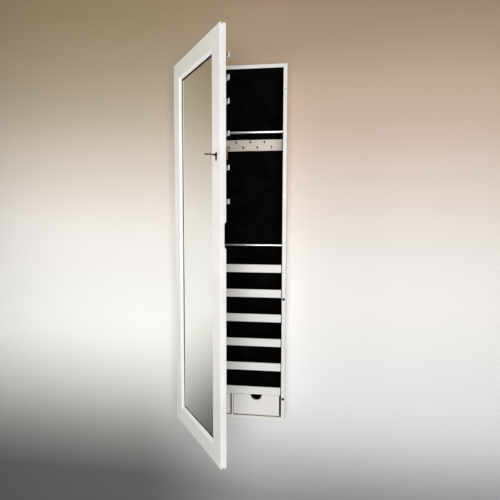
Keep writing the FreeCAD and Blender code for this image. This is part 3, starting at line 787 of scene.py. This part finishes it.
# %% Round the box, press the cover, add two screws
box_low, box_high = shut_box("lock_housing")
COVER_EDGE = 1.6 * MM
COVER_DEPTH = 0.4 * MM
BOX_EDGE = 1.2 * MM
SCREW_HEAD = 1.7 * MM
SCREW_INSET, SCREW_ASIDE = 3.6 * MM, 2 * MM
# the height over the cover in millimetres, and the share of the head's radius there
SCREW_PROFILE = ((-0.2, 0), (-0.2, 1), (0.15, 1), (0.4, 0.8), (0.4, 0))
edit = bmesh.new()
bar(edit, box_low, box_high)
rounded(edit, BOX_EDGE, segments=3)
edit.faces.ensure_lookup_table()
rear = max(edit.faces, key=lambda face: (face.calc_center_median().y, face.calc_area()))
bmesh.ops.inset_region(edit, faces=[rear], thickness=COVER_EDGE, depth=0)
bmesh.ops.inset_region(edit, faces=[rear], thickness=COVER_DEPTH / 2, depth=-COVER_DEPTH)
cover_y = box_high.y - COVER_DEPTH
profile = [(cover_y + height * MM, SCREW_HEAD * share) for height, share in SCREW_PROFILE]
for screw_z in (box_low.z + SCREW_INSET, box_high.z - SCREW_INSET):
    turned(edit, Vector((KEY_LINE.x - SCREW_ASIDE, 0, screw_z)), profile, steps=16)
lock_case = as_piece(swung_open(edit), "lock_case", "door", "dark_bronze", smooth=30)
# the box gets the copy of the bronze that is painted lighter, as lit
lock_case.data.materials[0] = lit_bronze_copy
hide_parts("lock_housing")
print("lock case:", len(lock_case.data.polygons), "faces")

# %% [markdown]
# ## Drawer linings
#
# Each drawer is lined with the same black velvet as the case, which is a guess, as no view shows it. The
# lining is an open box: a block without its top, given a millimetre of thickness, with a rounded rim.

# %% Line both drawers
PILE = 1.0 * MM
RIM_DROP = 1.5 * MM
RIM_EDGE = 0.4 * MM
for side in ("left", "right"):
    base_low, base_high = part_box(f"drawer_{side}_bottom")
    rim_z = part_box(f"drawer_{side}_sides")[1].z - RIM_DROP
    edit = bmesh.new()
    bar(edit, (base_low.x, base_low.y, base_high.z), (base_high.x, base_high.y, rim_z))
    top = max(edit.faces, key=lambda face: face.calc_center_median().z)
    bmesh.ops.delete(edit, geom=[top], context="FACES_ONLY")
    bmesh.ops.recalc_face_normals(edit, faces=edit.faces)
    bmesh.ops.solidify(edit, geom=edit.faces[:], thickness=PILE)
    rounded(edit, RIM_EDGE)
    as_piece(edit, f"drawer_{side}_lining", f"{side}_drawer", "black_velvet")
    print("drawer lining", side, "reaches", round(rim_z / MM, 1))

# %% [markdown]
# ## Camera
#
# The camera was solved from the straight edges of the case in the photograph: where they meet gives the
# view's tilt, and their lengths give its distance. It looks slightly to the left and down.

# %% Camera, from the photograph's viewing angle
IMAGE_WIDTH = 500
FOCAL_PIXELS = 414.5
camera_data = bpy.data.cameras.new("camera")
camera_data.sensor_width = 36
camera_data.lens = FOCAL_PIXELS / IMAGE_WIDTH * camera_data.sensor_width
camera_data.clip_start = 0.01
camera = bpy.data.objects.new("camera", camera_data)
bpy.context.scene.collection.objects.link(camera)
CAMERA_PLACE = (0.2356, -1.4891, -0.4607)
TURN_LEFT, TILT_DOWN, ROLL = radians(7.244), radians(4.042), radians(0.15)
camera.matrix_world = (
    Matrix.Translation(CAMERA_PLACE)
    @ Matrix.Rotation(TURN_LEFT, 4, "Z")
    @ Matrix.Rotation(pi / 2 - TILT_DOWN, 4, "X")
    @ Matrix.Rotation(ROLL, 4, "Z")
)
bpy.context.scene.camera = camera
print("lens:", round(camera_data.lens, 2), "mm")

# %% [markdown]
# ## Rays that only look
#
# A room that is pale enough to look right would also pour light on the cabinet. The renderer tells rays
# apart: camera, glossy and transmission rays only look at a thing, and the others carry light. So the
# room's paleness is shown to the rays that look, and the light on the cabinet stays as the lamps set it.
# Three helpers build the few nodes that this takes.

# %% Tell looking from lighting


def calculated(tree, operation, first, second):
    """A Math node on an output and on another output or a plain number."""
    node = tree.nodes.new("ShaderNodeMath")
    node.operation = operation
    tree.links.new(first, node.inputs[0])
    if isinstance(second, float):
        node.inputs[1].default_value = second
    else:
        tree.links.new(second, node.inputs[1])
    return node.outputs["Value"]


def looking_rays(tree):
    """1 for rays that only look at a thing: straight, in a mirror or through glass."""
    ray = tree.nodes.new("ShaderNodeLightPath")
    mirrored = calculated(tree, "MAXIMUM", ray.outputs["Is Camera Ray"], ray.outputs["Is Glossy Ray"])
    return calculated(tree, "MAXIMUM", mirrored, ray.outputs["Is Transmission Ray"])


def finish_with_mix(tree, output, share, first, second):
    """Send a mix of two shaders to an output node."""
    mix = tree.nodes.new("ShaderNodeMixShader")
    tree.links.new(share, mix.inputs["Fac"])
    tree.links.new(first, mix.inputs[1])
    tree.links.new(second, mix.inputs[2])
    tree.links.new(mix.outputs["Shader"], tree.nodes[output].inputs["Surface"])


print("looking rays: camera, glossy and transmission")

# %% [markdown]
# ## The wall's tones, with painted shade
#
# The cabinet hangs on a wall, and its mirror shows that wall, so the wall's tone matters more than its
# distance suggests. It is plain paint with painted shade on it: the tone runs from a darker, warmer shade
# above through white to a grey shade below, and the grey comes sooner on the left, where it is a painted
# shadow of the open door. So there are two short lists of tones over the height, in metres, and a
# helper that makes a smooth ramp of a list.

# %% Tones over the height
# painted shade: darker and warmer towards the top, grey towards the bottom, and on the left a painted shadow
# of the open door
WALL_SHADE_TONES = {
    "left": (
        (-1.45, (0.12, 0.12, 0.12)),
        (-1.20, (0.44, 0.44, 0.43)),
        (-0.95, (0.80, 0.80, 0.78)),
        (-0.70, (0.77, 0.77, 0.76)),
        (-0.40, (0.66, 0.62, 0.59)),
        (-0.10, (0.46, 0.40, 0.32)),
        (0.30, (0.32, 0.25, 0.15)),
    ),
    "right": (
        (-1.50, (0.30, 0.31, 0.33)),
        (-1.25, (0.74, 0.75, 0.78)),
        (-0.90, (0.92, 0.92, 0.92)),
        (-0.55, (0.90, 0.86, 0.84)),
        (-0.20, (0.72, 0.59, 0.52)),
        (0.05, (0.56, 0.43, 0.32)),
        (0.30, (0.39, 0.28, 0.19)),
    ),
}


def graded(tree, height, tones):
    """A colour ramp over the height, through a list of tones."""
    lowest, highest = tones[0][0], tones[-1][0]
    ranged = tree.nodes.new("ShaderNodeMapRange")
    ranged.inputs["From Min"].default_value = lowest
    ranged.inputs["From Max"].default_value = highest
    tree.links.new(height, ranged.inputs["Value"])
    ramp = tree.nodes.new("ShaderNodeValToRGB")
    ramp.color_ramp.interpolation = "CARDINAL"
    stops = ramp.color_ramp.elements
    for place, _ in tones[1:-1]:
        stops.new((place - lowest) / (highest - lowest))
    for stop, (_, tone) in zip(stops, tones):
        stop.color = (*tone, 1)
    tree.links.new(ranged.outputs["Result"], ramp.inputs["Fac"])
    return ramp.outputs["Color"]


print("wall tones:", {side: len(tones) for side, tones in WALL_SHADE_TONES.items()})

# %% [markdown]
# ## The wall's paint
#
# The two ramps of painted shade are mixed from left to right, with a soft change between two ends. A camera
# behind the wall sees straight through its back, so the hangers can be looked at from there.

# %% Mix the ramps
# where the painted door shadow on the left gives way to the right-hand ramp
LEFT_END, RIGHT_END = -0.40, 0.15
# a Mix node has a set of sockets for each kind of value, and these are the ones for colours
MIX_SHARE, MIX_FIRST, MIX_SECOND, MIX_RESULT = 0, 6, 7, 2


def painted_wall_shade(tree):
    """The two ramps of painted shade, mixed from the left end to the right end."""
    place = tree.nodes.new("ShaderNodeTexCoord")
    split = tree.nodes.new("ShaderNodeSeparateXYZ")
    tree.links.new(place.outputs["Object"], split.inputs["Vector"])
    sideways = tree.nodes.new("ShaderNodeMapRange")
    sideways.interpolation_type = "SMOOTHSTEP"
    sideways.inputs["From Min"].default_value = LEFT_END
    sideways.inputs["From Max"].default_value = RIGHT_END
    tree.links.new(split.outputs["X"], sideways.inputs["Value"])
    blend = tree.nodes.new("ShaderNodeMix")
    blend.data_type = "RGBA"
    tree.links.new(sideways.outputs["Result"], blend.inputs[MIX_SHARE])
    tree.links.new(graded(tree, split.outputs["Z"], WALL_SHADE_TONES["left"]), blend.inputs[MIX_FIRST])
    tree.links.new(graded(tree, split.outputs["Z"], WALL_SHADE_TONES["right"]), blend.inputs[MIX_SECOND])
    return blend.outputs[MIX_RESULT]


def shade_painted_wall():
    """Pale paint with painted shade over the height and a painted door shadow on the left, and that a camera
    behind the wall looks through.
    """
    material, shader = finish("shade_painted_wall", Roughness=0.9)
    tree = material.node_tree
    tree.links.new(painted_wall_shade(tree), shader.inputs["Base Color"])
    clear = tree.nodes.new("ShaderNodeBsdfTransparent")
    back = tree.nodes.new("ShaderNodeNewGeometry").outputs["Backfacing"]
    camera_ray = tree.nodes.new("ShaderNodeLightPath").outputs["Is Camera Ray"]
    from_behind = calculated(tree, "MULTIPLY", back, camera_ray)
    finish_with_mix(tree, "Material Output", from_behind, shader.outputs["BSDF"], clear.outputs["BSDF"])
    return material


paint = shade_painted_wall()
print("wall paint:", len(paint.node_tree.nodes), "nodes")

# %% [markdown]
# ## Wall
#
# The wall is four planes round the case, and it is left out behind the case, so that its back can be seen.
# Each plane is a grid of one face that is stretched to its size and stood upright, facing the room.

# %% Four planes round the case
FLOOR = -1.9
CEILING = 1.6
REACH = 4.0
WALL_Y = 0.0006
LYING, STANDING = Matrix.Identity(4), Matrix.Rotation(pi / 2, 4, "X")


def stage_plane(name, middle, width, height, turned_to, material):
    """A plane of the room, which isn't part of the cabinet."""
    edit = bmesh.new()
    place = Matrix.Translation(middle) @ turned_to @ Matrix.Diagonal((width, height, 1, 1))
    bmesh.ops.create_grid(edit, x_segments=1, y_segments=1, size=0.5, matrix=place)
    mesh = bpy.data.meshes.new(name)
    edit.to_mesh(mesh)
    edit.free()
    mesh.materials.append(material)
    plane = bpy.data.objects.new(name, mesh)
    bpy.context.scene.collection.objects.link(plane)


low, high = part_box("back_panel")
for name, x0, x1, z0, z1 in (
    ("wall_left", -REACH, low.x, FLOOR, CEILING),
    ("wall_right", high.x, REACH, FLOOR, CEILING),
    ("wall_below", low.x, high.x, FLOOR, low.z),
    ("wall_above", low.x, high.x, high.z, CEILING),
):
    stage_plane(name, ((x0 + x1) / 2, WALL_Y, (z0 + z1) / 2), x1 - x0, z1 - z0, STANDING, paint)
print("wall from", FLOOR, "to", CEILING)

# %% [markdown]
# ## Floor
#
# The lamps are aimed at the cabinet, so the floor gets little of their light. Its paint is helped by a share
# of plain pale glow, for looking rays alone. The rest of it is still paint, so it keeps the shadows.

# %% A pale floor
GLOW_SHARE = 0.45


def floor_paint():
    """Pale paint with a share of glow for the rays that look at it."""
    material, shader = finish("floor_paint", Base_Color=(0.78, 0.77, 0.75, 1), Roughness=0.8)
    tree = material.node_tree
    glow = tree.nodes.new("ShaderNodeEmission")
    glow.inputs["Color"].default_value = (0.86, 0.86, 0.85, 1)
    share = calculated(tree, "MULTIPLY", looking_rays(tree), GLOW_SHARE)
    finish_with_mix(tree, "Material Output", share, shader.outputs["BSDF"], glow.outputs["Emission"])
    return material


stage_plane("floor", (0, 0, FLOOR), 2 * REACH, 2 * REACH, LYING, floor_paint())
print("floor at", FLOOR)

# %% [markdown]
# ## Lamps
#
# One large soft lamp behind the camera, a little above the cabinet's middle, lights the case and the edge of
# the door. A smaller one hangs close to the door's front, on the left, so its light falls off gently
# towards the top and the bottom. A third, behind the wall, is only there for the back. No lamp shows itself
# to the camera, and the near one doesn't show in the mirror either, where it would be a hard white square.

# %% Three soft lamps
WARM_WHITE = (1, 0.985, 0.965)


def soft_lamp(name, place, aim, size, watts, mirrored=True):
    """A square area lamp at a place, turned to face another."""
    data = bpy.data.lights.new(name, "AREA")
    data.size = size
    data.energy = watts
    data.color = WARM_WHITE
    lamp = bpy.data.objects.new(name, data)
    bpy.context.scene.collection.objects.link(lamp)
    lamp.location = place
    lamp.visible_camera = False
    lamp.visible_glossy = mirrored
    lamp.rotation_euler = (Vector(aim) - Vector(place)).to_track_quat("-Z", "Y").to_euler()
    print(name, "lamp:", watts, "W")


soft_lamp("front", (0.45, -2.4, -0.42), (0, 0, -0.5), size=1.4, watts=44)
soft_lamp("left", (-0.85, -0.85, -0.42), (-0.08, -0.25, -0.5), size=0.5, watts=4.4, mirrored=False)
soft_lamp("behind", (-1.0, 2.4, 0.4), (0, 0, -0.5), size=1.6, watts=40)

# %% [markdown]
# ## World
#
# The world adds an even grey light from all sides, which opens the shadows. To a looking ray it shows a
# pale room instead, so the mirror has something plain to reflect when the door is shut.

# %% Even light, and a pale room to look at
EVEN_LIGHT = 0.17
world = bpy.data.worlds.new("room")
bpy.context.scene.world = world
world.use_nodes = True
tree = world.node_tree
light = tree.nodes["Background"]
light.inputs["Color"].default_value = (0.95, 0.95, 0.94, 1)
light.inputs["Strength"].default_value = EVEN_LIGHT
room = tree.nodes.new("ShaderNodeBackground")
room.inputs["Color"].default_value = (0.80, 0.80, 0.79, 1)
room.inputs["Strength"].default_value = 1
finish_with_mix(
    tree, "World Output", looking_rays(tree), light.outputs["Background"], room.outputs["Background"]
)
bpy.context.scene.view_settings.view_transform = "Standard"
print("world light:", EVEN_LIGHT)
